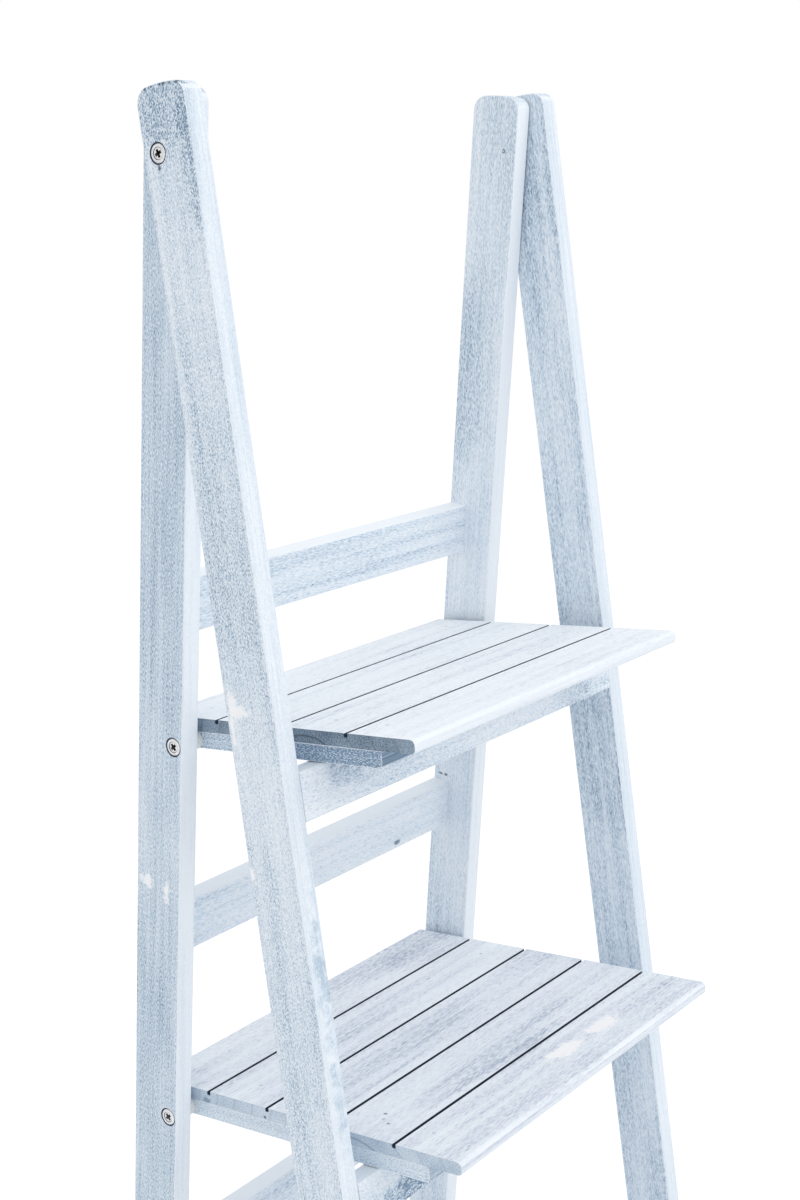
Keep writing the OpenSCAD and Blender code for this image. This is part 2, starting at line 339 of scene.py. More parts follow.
def mark_faces(obj, place, along, thick, bare_and_shaded=lambda corners, normal: False):
    """Writes onto each face what it is.

    along and thick are the board's axes, 0, 1 or 2, and bare tells whether a face is unwashed wood that
    also takes painted shade."""
    turn = place.to_3x3().inverted()
    back = place.inverted()
    marks = {kind: [] for kind in FACE_KINDS}
    for face in obj.data.polygons:
        normal = turn @ face.normal
        is_end = abs(normal[along]) > END_NORMAL
        is_wide = abs(normal[thick]) > SIDE_NORMAL
        is_narrow = abs(normal[3 - along - thick]) > SIDE_NORMAL
        marks["end_grain"].append(float(is_end))
        marks["narrow_side"].append(float(is_narrow and not is_end))
        marks["eased_edge"].append(float(not (is_end or is_wide or is_narrow)))
        corners = [back @ obj.data.vertices[index].co for index in face.vertices]
        marks["bare_shaded_wood"].append(float(bare_and_shaded(corners, normal)))
    for kind, values in marks.items():
        layer = obj.data.attributes.new(kind, "FLOAT", "FACE")
        layer.data.foreach_set("value", values)


def dress(obj, material):
    """Gives an object this material and no other."""
    obj.data.materials.clear()
    obj.data.materials.append(material)


def finish_piece(obj, body, material, node):
    """Gives a piece its material, smooths it, lets it ride and hides the node it stands for."""
    dress(obj, material)
    smooth(obj)
    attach(obj, body)
    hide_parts(node)


# ---- materials ----

# Where the four tones lie, from thinnest to thickest wash
TONE_STOPS = (0.0, 0.33, 0.66, 1.0)
MARK_STRENGTH = 0.85
GRAIN_BUMP = 0.25
GRAIN_DEPTH = 0.2 * MM
BLACK = (0, 0, 0)


def add_node(tree, kind, **options):
    node = tree.nodes.new(f"ShaderNode{kind}")
    for option, value in options.items():
        setattr(node, option, value)
    return node


class Finish:
    """A material being built: adds nodes and links them."""

    def __init__(self, name):
        self.material = bpy.data.materials.new(name)
        self.material.use_nodes = True
        self.tree = self.material.node_tree
        self.tree.nodes.clear()
        self.shader = add_node(self.tree, "BsdfPrincipled")
        output = add_node(self.tree, "OutputMaterial")
        self.tree.links.new(self.shader.outputs["BSDF"], output.inputs["Surface"])
        self.place = add_node(self.tree, "TexCoord").outputs["Object"]

    def feed(self, node, inputs):
        """Links a node's inputs to sockets, or sets them to values."""
        for name, value in inputs.items():
            socket = node.inputs[name]
            if isinstance(value, bpy.types.NodeSocket):
                self.tree.links.new(value, socket)
            elif socket.type == "RGBA":
                socket.default_value = (*value[:3], 1)
            else:
                socket.default_value = value

    def node(self, kind, output, inputs, **options):
        """Adds a node and feeds it, and gives its output."""
        node = add_node(self.tree, kind, **options)
        self.feed(node, inputs)
        return node.outputs[output]

    def mapped(self, source, scale=(1, 1, 1), turn=(0, 0, 0), shift=(0, 0, 0)):
        return self.node("Mapping", "Vector", {
            "Vector": source, "Scale": scale, "Rotation": turn, "Location": shift})

    def noise(self, source, detail=2.0, roughness=0.5, distortion=0.0, scale=1.0):
        return self.node("TexNoise", "Fac", {
            "Vector": source, "Scale": scale, "Detail": detail, "Roughness": roughness,
            "Distortion": distortion})

    def ramp(self, factor, *stops):
        node = add_node(self.tree, "ValToRGB")
        self.feed(node, {"Fac": factor})
        elements = node.color_ramp.elements
        elements.remove(elements[1])
        elements[0].position = stops[0][0]
        elements[0].color = (*stops[0][1], 1)
        for position, colour in stops[1:]:
            elements.new(position).color = (*colour, 1)
        return node.outputs["Color"]

    def between(self, value, low, high, start=0.0, end=1.0):
        """Turns a value from low to high into one from start to end, and holds it there outside."""
        return self.node("MapRange", "Result", {
            "Value": value, "From Min": low, "From Max": high, "To Min": start, "To Max": end},
            interpolation_type="SMOOTHSTEP")

    def mix(self, factor, first, second):
        """Mixes two colours, which are inputs 6 and 7 and output 2 of the node."""
        return self.node("Mix", 2, {0: factor, 6: first, 7: second}, data_type="RGBA")

    def mark(self, name):
        return self.node("Attribute", "Fac", {}, attribute_name=name)

    def length(self, source):
        return self.node("VectorMath", "Value", {0: source}, operation="LENGTH")

    def math(self, operation, first, second=0.0):
        return self.node("Math", "Value", {0: first, 1: second}, operation=operation)

    def plus(self, first, second):
        return self.math("ADD", first, second)

    def minus(self, first, second):
        return self.math("SUBTRACT", first, second)

    def times(self, first, second):
        return self.math("MULTIPLY", first, second)

    def spot(self, centre, size, turn, ragged, grain):
        """1 near a point of the stand, 0 outside an uneven oval of this size round it."""
        shift = Matrix.Rotation(turn[0], 3, "X") @ Vector(centre)
        local = self.mapped(self.place, turn=turn, shift=-shift)
        oval = self.mapped(local, scale=tuple(1 / part for part in size))
        rough = self.noise(self.place, detail=4, roughness=0.65, scale=grain)
        uneven = self.times(self.minus(rough, 0.5), 2 * ragged)
        return self.between(self.plus(self.length(oval), uneven), 0.45, 1.0, start=1.0, end=0.0)

    def ring_lines(self, centre, radius, apart):
        """Dark, up to 1, on a growth ring round an axis along X, fainter on the ones next to it."""
        wobble = self.times(self.noise(self.place, scale=60), 2 * MM)
        across = self.mapped(self.place, scale=(0, 1, 1), shift=(0, -centre[0], -centre[1]))
        past = self.plus(self.minus(self.length(across), radius), wobble)
        first = self.between(self.math("ABSOLUTE", past), 0.2 * MM, 0.9 * MM, start=0.75, end=0.0)
        others = self.between(
            self.math("PINGPONG", past, apart / 2), 0.3 * MM, 1.2 * MM, start=0.3, end=0.0)
        return self.math("MAXIMUM", first, others)


def along_grain(axis, across, lengthwise):
    """Noise scales per metre: across in two directions and lengthwise along the grain."""
    scale = [across] * 3
    scale[axis] = lengthwise
    return tuple(scale)


def whitewash(name, axis, turn=(0, 0, 0), *, cover, speckle, narrow_cover_and_light=0.78, clouding=0.6,
              streaks=0.45, stroke=260, greyed=False, ends=None, ring=None, rubs_and_shade=(), marks=()):
    """Washed wood whose grain runs along an axis: 0, 1 or 2.

    cover is how thick the wash lies on the wide faces, from 0 up, and narrow_cover_and_light on the narrow
    ones, together with painted light: how the light falls on the narrow faces is painted into their
    tone. clouding, streaks and speckle are how much it varies, and stroke is how short the speckle
    is. greyed takes the shelf boards' tones, ends is the end grain's darkest and lightest colour, and
    ring a growth ring's centre, radius and spacing. rubs are (centre, size, change of cover,
    raggedness): wash rubbed thin and wash laid thick, and painted shade where a part lies in shadow.
    marks are (centre, size, colour, raggedness)."""
    look = settings().finish
    finish = Finish(name)
    seed = 0.37 * len(bpy.data.materials)
    board = finish.mapped(finish.place, turn=turn, shift=(seed, seed, seed))

    def grain(across, lengthwise, **more):
        return finish.noise(finish.mapped(board, scale=along_grain(axis, across, lengthwise)), **more)

    def vary(value, change, weight):
        return finish.plus(value, finish.times(finish.minus(change, 0.5), weight))

    clouds = grain(across=30, lengthwise=9, detail=2, roughness=0.5)
    bands = grain(across=150, lengthwise=5, detail=3, roughness=0.6, distortion=0.3)
    fibres = grain(across=620, lengthwise=11, detail=2, roughness=0.6)
    strokes = grain(across=1500, lengthwise=stroke, detail=1, roughness=0.6)
    pores = grain(across=1300, lengthwise=230, detail=1, roughness=0.5)

    # Rubbed and thickened wash, and painted shade where a rub darkens a part that lies in shadow
    rubbed_and_shaded = 0.0
    for centre, size, change, ragged in rubs_and_shade:
        spot = finish.spot(centre, size, turn, ragged, grain=60 + 90 * ragged)
        rubbed_and_shaded = finish.plus(rubbed_and_shaded, finish.times(spot, change))
    broad = finish.plus(vary(vary(cover, clouds, clouding), bands, streaks), rubbed_and_shaded)
    broad = vary(broad, fibres, weight=0.5)
    # The speckle stands out where the wash is thin
    strength = finish.between(broad, 0.9, 0.1, start=0.65 * speckle, end=1.5 * speckle)
    wash = vary(broad, strokes, strength)
    # The narrow faces' tone: their wash together with painted light, for how the light falls on them
    calm = vary(vary(narrow_cover_and_light, bands, weight=0.6), fibres, weight=0.5)
    calm = vary(calm, strokes, weight=0.25 * speckle)
    calm = finish.plus(calm, finish.times(rubbed_and_shaded, 0.5))
    pore = finish.between(pores, 0.62, 0.72)

    if greyed:
        tones = (mixed(look.grey_wash, look.stain, 0.55), look.grey_wash,
                 mixed(look.grey_wash, look.dense_wash, 0.7), look.dense_wash)
    else:
        tones = (look.stain, look.thin_wash, look.even_wash, look.dense_wash)
    stops = tuple(zip(TONE_STOPS, tones))
    wide = finish.mix(finish.times(pore, 0.25), finish.ramp(wash, *stops), look.stain)
    narrow = finish.mix(finish.times(pore, 0.06), finish.ramp(calm, *stops), look.stain)
    colour = finish.mix(finish.mark("narrow_side"), wide, narrow)
    # Painted highlight: the eased edges are lightened towards the dense wash, more in some patches than
    # others
    edge_highlight = finish.between(clouds, 0.40, 0.55, start=0.4, end=0.85)
    colour = finish.mix(finish.times(finish.mark("eased_edge"), edge_highlight), colour, look.dense_wash)
    if ends:
        darkest, lightest = ends
        cross_section = finish.mapped(board, scale=(0, 1, 1))
        grit = finish.noise(cross_section, detail=1, scale=1300)
        patches = finish.noise(cross_section, detail=1, scale=55)
        end = finish.plus(vary(vary(0.5, grit, weight=3.4), patches, weight=1.3), rubbed_and_shaded)
        end = finish.ramp(end, (0.0, darkest), (1.0, lightest))
        if ring:
            end = finish.mix(finish.ring_lines(*ring), end, mixed(BLACK, darkest, 0.72))
        colour = finish.mix(finish.mark("end_grain"), colour, end)
    for centre, size, tone, ragged in marks:
        spot = finish.spot(centre, size, turn, ragged, grain=500 / (1 + ragged))
        colour = finish.mix(finish.times(spot, MARK_STRENGTH), colour, tone)
    # Unwashed wood in grooves and holes, near black as painted shade
    colour = finish.mix(finish.mark("bare_shaded_wood"), colour, look.bare_and_shaded)
    bump = finish.node("Bump", "Normal", {
        "Strength": GRAIN_BUMP, "Distance": GRAIN_DEPTH,
        "Height": finish.minus(strokes, finish.times(pore, 0.5))})
    gloss = finish.between(strokes, 0.3, 0.7, start=0.74, end=0.58)
    finish.feed(finish.shader, {"Base Color": colour, "Roughness": gloss, "Normal": bump})
    return finish.material


def mixed(first, second, share):
    """A colour on the way from one to another."""
    return tuple(a + (b - a) * share for a, b in zip(first, second))


def metal(name, colour, roughness):
    """Plated steel with fine scratches and dull patches, and painted shade in its recesses."""
    finish = Finish(name)
    patches = finish.noise(finish.place, detail=3, scale=420)
    scratches = finish.noise(finish.mapped(finish.place, scale=(400, 2600, 500)), detail=2)
    wear = finish.plus(finish.times(patches, 0.6), finish.times(scratches, 0.4))
    tone = finish.ramp(wear, (0.35, mixed(BLACK, colour, 0.78)), (0.6, colour))
    # Painted shade: the cross and the dish's slope are coloured near black
    tone = finish.mix(finish.mark("recess"), tone, mixed(BLACK, colour, 0.1))
    gloss = finish.between(wear, 0.35, 0.65, start=roughness + 0.14, end=roughness)
    finish.feed(finish.shader, {"Base Color": tone, "Metallic": 1, "Roughness": gloss})
    return finish.material


def plain(name, dark, light, scale, roughness, stretch=(1, 1, 1)):
    """A soft mottle of two tones, for the small hidden pieces."""
    finish = Finish(name)
    stretched = finish.mapped(finish.place, scale=tuple(scale * part for part in stretch))
    mottle = finish.noise(stretched, detail=3)
    tone = finish.ramp(mottle, (0.3, dark), (0.7, light))
    gloss = finish.between(mottle, 0.3, 0.7, start=roughness + 0.08, end=roughness)
    finish.feed(finish.shader, {"Base Color": tone, "Roughness": gloss})
    return finish.material


# ---- legs and rails ----

# How far past a face a cutter reaches, and how deep the longest one goes
PAST = 1 * MM
CUTTER_DEPTH = 30 * MM
BORE_SLACK = 0.08 * MM
# The bare wood of a screw hole, which also takes painted shade, lies this close round a head
HOLE_MARGIN = 1.5 * MM
CORNER_STEPS = 10
ARCH_STEPS = 4
# Degrees up the arch at which the outline ends in a narrow flat
CROWN = math.radians(88.5)


def screw_hole(x_face, out, pivot):
    """The shape of a countersunk hole on a pivot axis, entered from the face at x_face."""
    size = settings().screws
    bore = size.shank_diameter / 2 + BORE_SLACK
    mouth = size.head_diameter / 2 + size.head_room
    hole = turned("hole", [(mouth + PAST, PAST), (bore, bore - mouth), (bore, -CUTTER_DEPTH)])
    aim = Matrix.Rotation(out * math.pi / 2, 4, "Y")
    settle(hole, Matrix.Translation((x_face, pivot.y, pivot.z)) @ aim)
    return hole


def head_levels(low, high):
    """Heights up a leg's head, each with the outline's front and rear, in the leg's own axes."""
    shape = settings().boards
    half = (high.y - low.y) / 2
    middle = (high.y + low.y) / 2
    arch = shape.head_arch_radius

    def corner(radius):
        rise = math.sqrt((arch - radius) ** 2 - (half - radius) ** 2)
        return rise, math.atan2(rise, half - radius)

    def reach(height, radius):
        rise, angle = corner(radius)
        if height <= rise:
            return half
        if height < arch * math.sin(angle):
            return half - radius + math.sqrt(radius ** 2 - (height - rise) ** 2)
        return math.sqrt(arch ** 2 - height ** 2)

    radius = max(shape.head_rear_radius, shape.head_front_radius)
    rise, angle = corner(radius)
    heights = [rise + radius * math.sin(angle * step / CORNER_STEPS) for step in range(CORNER_STEPS + 1)]
    heights += [arch * math.sin(angle + (CROWN - angle) * step / ARCH_STEPS)
                for step in range(1, ARCH_STEPS + 1)]
    return [(high.z - arch + height, middle - reach(height, shape.head_front_radius),
             middle + reach(height, shape.head_rear_radius)) for height in heights]


def leg(side, which, material):
    """One leg: a flat board on edge with an arched head, cut level at the floor and drilled."""
    node = f"{which}_leg_{side}"
    place = PLACES[which]
    low, high = extent(node, place)
    levels = head_levels(low, high)
    height, front, rear = levels[0]
    board = block(f"{node}_board", low, Vector((high.x, high.y, height)))
    pick(board, "FACE", lambda face: face.normal.z > 0.9)
    for next_height, next_front, next_rear in levels[1:]:
        extrude_up(next_height - height)
        middle = (front + rear) / 2
        grow = (next_rear - next_front) / (rear - front)
        bpy.ops.transform.resize(value=(1, grow, 1), center_override=(0, middle, next_height))
        bpy.ops.transform.translate(value=(0, (next_front + next_rear) / 2 - middle, 0))
        height, front, rear = next_height, next_front, next_rear
    bpy.ops.mesh.select_all(action="SELECT")
    bpy.ops.mesh.dissolve_limited(angle_limit=math.radians(0.5))
    settle(board, place)
    pick(board, "FACE", lambda face: True)
    bpy.ops.mesh.bisect(plane_co=(0, 0, 0), plane_no=(0, 0, 1), use_fill=True, clear_inner=True)
    ease_outline(board, settings().boards.edge_radius)
    out, x_face = (-1, low.x) if side == "left" else (1, high.x)
    pivots = [HINGE] if which == "front" else list(SHELF_PIVOTS.values())
    for pivot in pivots:
        hole = screw_hole(x_face, out, pivot)
        cut(board, hole)
        discard(hole)
    cut(board, NODES[f"{which}_frame_dowels"])
    if which == "rear":
        cut(board, NODES["top_pivot_screws"])
    reach = settings().screws.head_diameter / 2 + HOLE_MARGIN

    def in_hole(corners, normal):
        spots = [place @ corner for corner in corners]
        return any(all((spot - pivot).yz.length < reach for spot in spots) for pivot in pivots)

    mark_faces(board, place, along=2, thick=0, bare_and_shaded=in_hole)
    finish_piece(board, f"{which}_frame", material, node)


def rail(tier, which, material):
    """One rail between two legs, with eased edges and dowelled ends."""
    node = f"{which}_rail_{tier}"
    place = PLACES[which]
    low, high = extent(node, place)
    board = block(f"{node}_board", low, high)
    pick(board, "EDGE", lambda edge: not near(edge.verts[0].co.x, edge.verts[1].co.x))
    bpy.ops.mesh.bevel(offset=settings().boards.edge_radius, segments=3, profile=0.5, affect="EDGES")
    settle(board, place)
    cut(board, NODES[f"{which}_frame_dowels"])
    mark_faces(board, place, along=0, thick=1)
    finish_piece(board, f"{which}_frame", material, node)


# ---- shelves ----

# A groove lies at least this far from a board's long edges, its floor from the faces above and below
EDGE_MARGIN = 10 * MM
FLOOR_MARGIN = 0.5 * MM
# The bare wood of a groove, which also takes painted shade, ends this far under the board's top, and where
# the board's end begins
LIP_MARGIN = 0.3 * MM
BOARD_END_NORMAL = 0.9
CLEAT_EDGE = 0.5 * MM


def groove_places(node, low, high):
    """Front and rear side of each groove in a shelf board, and the height of the grooves' floor."""
    inside = [vertex.co for vertex in NODES[node].data.vertices
              if near(vertex.co.x, low.x) and low.z + FLOOR_MARGIN < vertex.co.z < high.z - FLOOR_MARGIN
              and low.y + EDGE_MARGIN < vertex.co.y < high.y - EDGE_MARGIN]
    sides = sorted({round(co.y, 5) for co in inside})
    return list(zip(sides[::2], sides[1::2])), inside[0].z


def shelf_board(tier, material):
    """One shelf board: rounded front edges, grooves along it and holes for its brads."""
    shape = settings().boards
    node = f"{tier}_shelf_board"
    low, high = extent(node)
    board = block(f"{node}_grooved", low, high)
    for height in (low.z, high.z):
        round_edges(board, lambda co: near(co.y, low.y) and near(co.z, height), shape.nose_radius, 6)
        round_edges(board, lambda co: near(co.y, high.y) and near(co.z, height), shape.shelf_rear_radius, 3)
    grooves, floor = groove_places(node, low, high)
    for front, rear in grooves:
        groove = block("groove", Vector((low.x - PAST, front, floor)),
                       Vector((high.x + PAST, rear, high.z + PAST)))
        cut(board, groove)
        discard(groove)
    ease_outline(board, shape.groove_lip, segments=2)
    cut(board, NODES[f"{tier}_shelf_brads"])

    def in_groove(corners, normal):
        centre = sum(corners, Vector()) / len(corners)
        sunk = low.z + FLOOR_MARGIN < centre.z < high.z - LIP_MARGIN
        inside = low.y + EDGE_MARGIN < centre.y < high.y - EDGE_MARGIN
        return sunk and inside and abs(normal.x) < BOARD_END_NORMAL

    mark_faces(board, LEVEL, along=0, thick=2, bare_and_shaded=in_groove)
    finish_piece(board, f"{tier}_shelf", material, node)


def cleat(tier, side, material):
    """One batten under a shelf board, with a rounded nose, drilled for its screw and brads."""
    node = f"{tier}_shelf_cleat_{side}"
    low, high = extent(node)
    board = block(f"{node}_batten", low, high)
    nose = settings().boards.cleat_nose_radius
    round_edges(board, lambda co: near(co.y, low.y) and near(co.z, low.z), nose, 8)
    ease_outline(board, CLEAT_EDGE, segments=2)
    cut(board, NODES[f"{tier}_shelf_screws"])
    cut(board, NODES[f"{tier}_shelf_brads"])
    mark_faces(board, LEVEL, along=1, thick=0)
    finish_piece(board, f"{tier}_shelf", material, node)


# ---- screws ----

# The cross recess: half the reach and width of an arm, and how much both shrink to its floor
ARM_REACH = 2.8 * MM
ARM_WIDTH = 1 * MM
RECESS_DEPTH = 2.1 * MM
RECESS_TAPER = (0.42, 0.5, 1)
# The dish in a head, and its rounded rim, as shares of the head's radius
DISH_FLOOR = 0.60
DISH_RIM = 0.67
HEAD_RIM = 0.93
DISH_DEPTH = 0.25 * MM
# The thread: its root as a share of its crest, and half its ridge as a share of the pitch
THREAD_ROOT = 0.74
HALF_RIDGE = 0.28
RIDGE_OVERLAP = 0.1 * MM
# The smooth neck as a share of the screw's length, and the length of the tip
NECK = 0.35
TIP = 4 * MM


def recess_cutter():
    """The tapering cross of a screwdriver recess, its mouth at Z = 0."""
    arms = []
    for turn in (0, math.pi / 2):
        arm = block("arm", Vector((-ARM_REACH, -ARM_WIDTH, -RECESS_DEPTH)),
                    Vector((ARM_REACH, ARM_WIDTH, 0.6 * MM)))
        pick(arm, "FACE", lambda face: face.normal.z < -0.5)
        bpy.ops.transform.resize(value=RECESS_TAPER, center_override=(0, 0, -RECESS_DEPTH))
        settle(arm, Matrix.Rotation(turn, 4, "Z"))
        arms.append(arm)
    first, second = arms
    apply_modifier(first, "Cross", "BOOLEAN", operation="UNION", solver="EXACT", object=second)
    discard(second)
    return first


def thread(root, crest, start, length):
    """The ridge of a wood screw's thread: a triangle wound about Z."""
    size = settings().screws
    deselect()
    bpy.ops.mesh.primitive_circle_add(vertices=3, radius=1, fill_type="NOTHING")
    ridge = bpy.context.object
    ridge.name = ridge.data.name = "ridge"
    half = HALF_RIDGE * size.thread_pitch
    inner = root - RIDGE_OVERLAP
    corners = ((inner, 0, start + half), (crest, 0, start), (inner, 0, start - half))
    for vertex, corner in zip(ridge.data.vertices, corners):
        vertex.co = corner
    turns = int(length / size.thread_pitch)
    apply_modifier(ridge, "Winding", "SCREW", axis="Z", angle=2 * math.pi, iterations=turns,
                   screw_offset=-size.thread_pitch, steps=size.thread_steps,
                   render_steps=size.thread_steps)
    for end in (start, start - turns * size.thread_pitch):
        pick(ridge, "EDGE", lambda edge: edge.is_boundary
             and all(abs(v.co.z - end) < half + 0.05 * MM for v in edge.verts))
        bpy.ops.mesh.edge_face_add()
    close_up(ridge)
    return ridge


def wood_screw(length):
    """A countersunk cross-head wood screw pointing down -Z, its head's face at Z = 0."""
    size = settings().screws
    head = size.head_diameter / 2
    crest = size.shank_diameter / 2
    root = THREAD_ROOT * crest
    cone = head - crest
    neck = NECK * length
    body = turned("screw", [
        (DISH_FLOOR * head, -DISH_DEPTH), (DISH_RIM * head, 0), (HEAD_RIM * head, 0),
        (head, -0.3 * MM), (head, -0.45 * MM), (crest, -cone - 0.2 * MM), (crest, -neck),
        (root, -neck - 0.6 * MM), (root, TIP - length), (0.1 * MM, -length)])
    cross = recess_cutter()
    cut(body, cross)
    discard(cross)

    def in_recess(centre):
        """The dish's slope and the cross, but not the dish's floor."""
        depth = -centre.z
        dark = TOLERANCE < depth < DISH_DEPTH - TOLERANCE or DISH_DEPTH + 0.05 * MM < depth < 2.3 * MM
        return dark and centre.xy.length < DISH_RIM * head

    # The faces that take the metal's painted shade
    deep = [float(in_recess(face.center)) for face in body.data.polygons]
    body.data.attributes.new("recess", "FLOAT", "FACE").data.foreach_set("value", deep)
    ridge = thread(root, crest, -neck - 1.2 * MM, length - neck - TIP - 1.6 * MM)
    return joined("screw", [ridge, body])


def screw_pair(node, body, pivot, turn, material):
    """The two screws of a pivot axis, heads outwards."""
    low, high = extent(node)
    length = high.x - min(v.co.x for v in NODES[node].data.vertices if v.co.x > 0)
    pattern = wood_screw(length)
    pair = []
    for out, x_face in ((-1, low.x), (1, high.x)):
        aim = Matrix.Rotation(out * math.pi / 2, 4, "Y") @ Matrix.Rotation(turn, 4, "Z")
        pair.append(copied(pattern, Matrix.Translation((x_face, pivot.y, pivot.z)) @ aim))
    discard(pattern)
    both = joined(f"{node}_threaded", pair)
    finish_piece(both, body, material, node)


# ---- operators ----

DONE = {"FINISHED"}
# Degrees along the arch, and size in millimetres
HEAD_SPECKS = ((-5.8, 1.3), (-3.0, 0.9), (0.6, 1.2), (2.0, 1.4), (4.6, 0.9), (7.2, 1.6))
# Half the depth of a mark that lies in a face, so that it also shows on its eased edges
SKIN = 3 * MM


def head_specks(x_face):
    """Dark specks where the wash has worn off along the arch of the left front leg's head."""
    place = PLACES["front"]
    low, high = extent("front_leg_left", place)
    arch = settings().boards.head_arch_radius
    middle = (low.y + high.y) / 2
    specks = []
    for degrees, size in HEAD_SPECKS:
        swing = math.radians(-degrees)
        height = high.z - arch + arch * math.cos(swing) - 1 * MM
        top = Vector((x_face, middle + arch * math.sin(swing), height))
        specks.append((tuple(place @ top), (SKIN, size * MM, 0.8 * size * MM), shade(52, 68, 90), 0.5))
    return tuple(specks)


def paint_dabs(x_face, *dabs):
    """White dabs in a leg's side face, from (y, z, half length, half height, raggedness)."""
    paint = shade(252, 252, 253)
    return tuple(((x_face, y, z), (SKIN, half_length, half_height), paint, ragged)
                 for y, z, half_length, half_height, ragged in dabs)


class STAND_OT_legs(Operator):
    """Model the four legs"""

    bl_idname = "stand.legs"
    bl_label = "Legs"

    def execute(self, context):
        # The legs' side faces towards the left
        left, right, left_rear, right_rear = (
            extent(f"{which}_leg_{side}")[0].x for which in ("front", "rear") for side in SIDES)
        drip = ((left, HINGE.y, HINGE.z - 7.3 * MM), (SKIN, 1.2 * MM, 2 * MM), shade(50, 56, 68), 0.5)
        burr = ((left, HINGE.y - 4.6 * MM, HINGE.z + 5.4 * MM), (SKIN, 2 * MM, 1.4 * MM),
                shade(238, 236, 234), 0.5)
        dabs = paint_dabs(left, (-0.0620, 0.6705, 0.0085, 0.0045, 1.2),
                          (-0.0580, 0.6760, 0.0042, 0.0070, 1.2), (-0.0562, 0.6600, 0.0020, 0.0120, 1.2),
                          (-0.0562, 0.5790, 0.0040, 0.0080, 1.4), (-0.0545, 0.5670, 0.0036, 0.0060, 1.4))
        rear_dabs = paint_dabs(
            left_rear, (0.0438, 0.5565, 0.0062, 0.0048, 1.4), (0.0278, 0.5520, 0.0036, 0.0076, 1.4))
        # Each leg's narrow cover also paints light into its front and rear faces, which face the light
        front_left = dict(cover=0.71, narrow_cover_and_light=0.82, clouding=0.45, speckle=2.4, stroke=800,
                          marks=(drip, burr) + head_specks(left) + dabs, rubs_and_shade=(
            ((left, -0.058, 0.992), (0.010, 0.045, 0.038), -0.26, 0.3),
            ((left, -0.079, 0.972), (0.006, 0.014, 0.070), -0.32, 0.6),
            ((left, -0.086, 0.890), (0.005, 0.010, 0.080), -0.26, 0.6),
            ((left, -0.0885, 0.790), (0.005, 0.009, 0.070), -0.18, 0.6),
            ((left, -0.068, 0.840), (0.020, 0.030, 0.060), -0.12, 0.3),
            ((left, -0.059, 0.745), (0.020, 0.030, 0.080), -0.10, 0.3),
            ((left + 8.5 * MM, -0.0870, 0.520), (0.0080, 0.012, 0.065), -0.90, 0.7),
            ((left + 8.5 * MM, -0.0890, 0.450), (0.0080, 0.012, 0.050), -0.70, 0.7)))
        front_right = dict(cover=0.62, streaks=0.7, speckle=1.6, stroke=450, rubs_and_shade=(
            ((right, -0.0733, 0.945), (0.020, 0.030, 0.050), -0.06, 0.4),
            ((right, -0.0772, 0.560), (0.020, 0.040, 0.070), -0.16, 0.4),
            ((right, -0.0950, 0.700), (0.020, 0.010, 0.250), -0.20, 0.5)))
        rear_left = dict(cover=0.53, narrow_cover_and_light=0.96, speckle=1.6, stroke=560, marks=rear_dabs, rubs_and_shade=(
            ((left_rear, -0.018, 0.830), (0.020, 0.030, 0.090), -0.12, 0.3),
            ((left_rear, 0.066, 0.450), (0.020, 0.030, 0.080), -0.10, 0.3)))
        scuffs = (((right_rear, 0.0500, 0.5396), (SKIN, 0.0026, 0.0009), shade(90, 102, 118), 0.8),
                  ((right_rear, 0.0450, 0.5385), (SKIN, 0.0018, 0.0014), shade(56, 66, 82), 1.0),
                  ((right_rear, 0.0480, 0.5335), (SKIN, 0.0012, 0.0012), shade(100, 114, 130), 0.6))
        rear_right = dict(cover=0.70, narrow_cover_and_light=1.04, speckle=1.6, stroke=420, marks=scuffs, rubs_and_shade=(
            ((right_rear, -0.009, 0.826), (0.020, 0.030, 0.080), -0.13, 0.4),
            ((right_rear, 0.011, 0.690), (0.020, 0.040, 0.060), 0.12, 0.4)))
        for side, front, rear in (("left", front_left, rear_left), ("right", front_right, rear_right)):
            leg(side, "front", whitewash(f"front_leg_{side}_wash", 2, (FRONT_LEAN, 0, 0), **front))
            leg(side, "rear", whitewash(f"rear_leg_{side}_wash", 2, (-REAR_LEAN, 0, 0), **rear))
        return DONE


class STAND_OT_rails(Operator):
    """Model the rails of both frames"""

    bl_idname = "stand.rails"
    bl_label = "Rails"

    def execute(self, context):
        front_rubs_and_shade = (
            ((-0.116, -0.089, 0.628), (0.022, 0.012, 0.012), -0.32, 0.8),
            ((0.110, -0.089, 0.616), (0.030, 0.012, 0.014), -0.18, 0.8),
            # Painted shade: the middle rail's left end, in shadow under the shelf
            ((-0.104, -0.0995, 0.374), (0.042, 0.012, 0.024), -0.60, 0.6))
        rear_marks = (
            ((0.0822, 0.0482, 0.5059), (0.004, 0.006, 0.0025), shade(96, 118, 142), 0.5),)
        rear_rubs = (((0.030, 0.046, 0.517), (0.250, 0.040, 0.050), 0.16, 0.3),)
        # The rails' narrow covers also paint light: the top and bottom faces are set near white for the lit
        # tops, the rear ones past full cover to lighten them in the shade of the shelves above
        front = whitewash("front_rail_wash", 0, (FRONT_LEAN, 0, 0), cover=0.80, narrow_cover_and_light=1.0,
                          streaks=0.3, stroke=700, speckle=1.9, rubs_and_shade=front_rubs_and_shade)
        rear = whitewash("rear_rail_wash", 0, (-REAR_LEAN, 0, 0), cover=0.74, narrow_cover_and_light=1.2,
                         streaks=0.7, speckle=2.2, rubs_and_shade=rear_rubs, marks=rear_marks)
        for tier in TIERS:
            rail(tier, "front", front)
            rail(tier, "rear", rear)
        return DONE


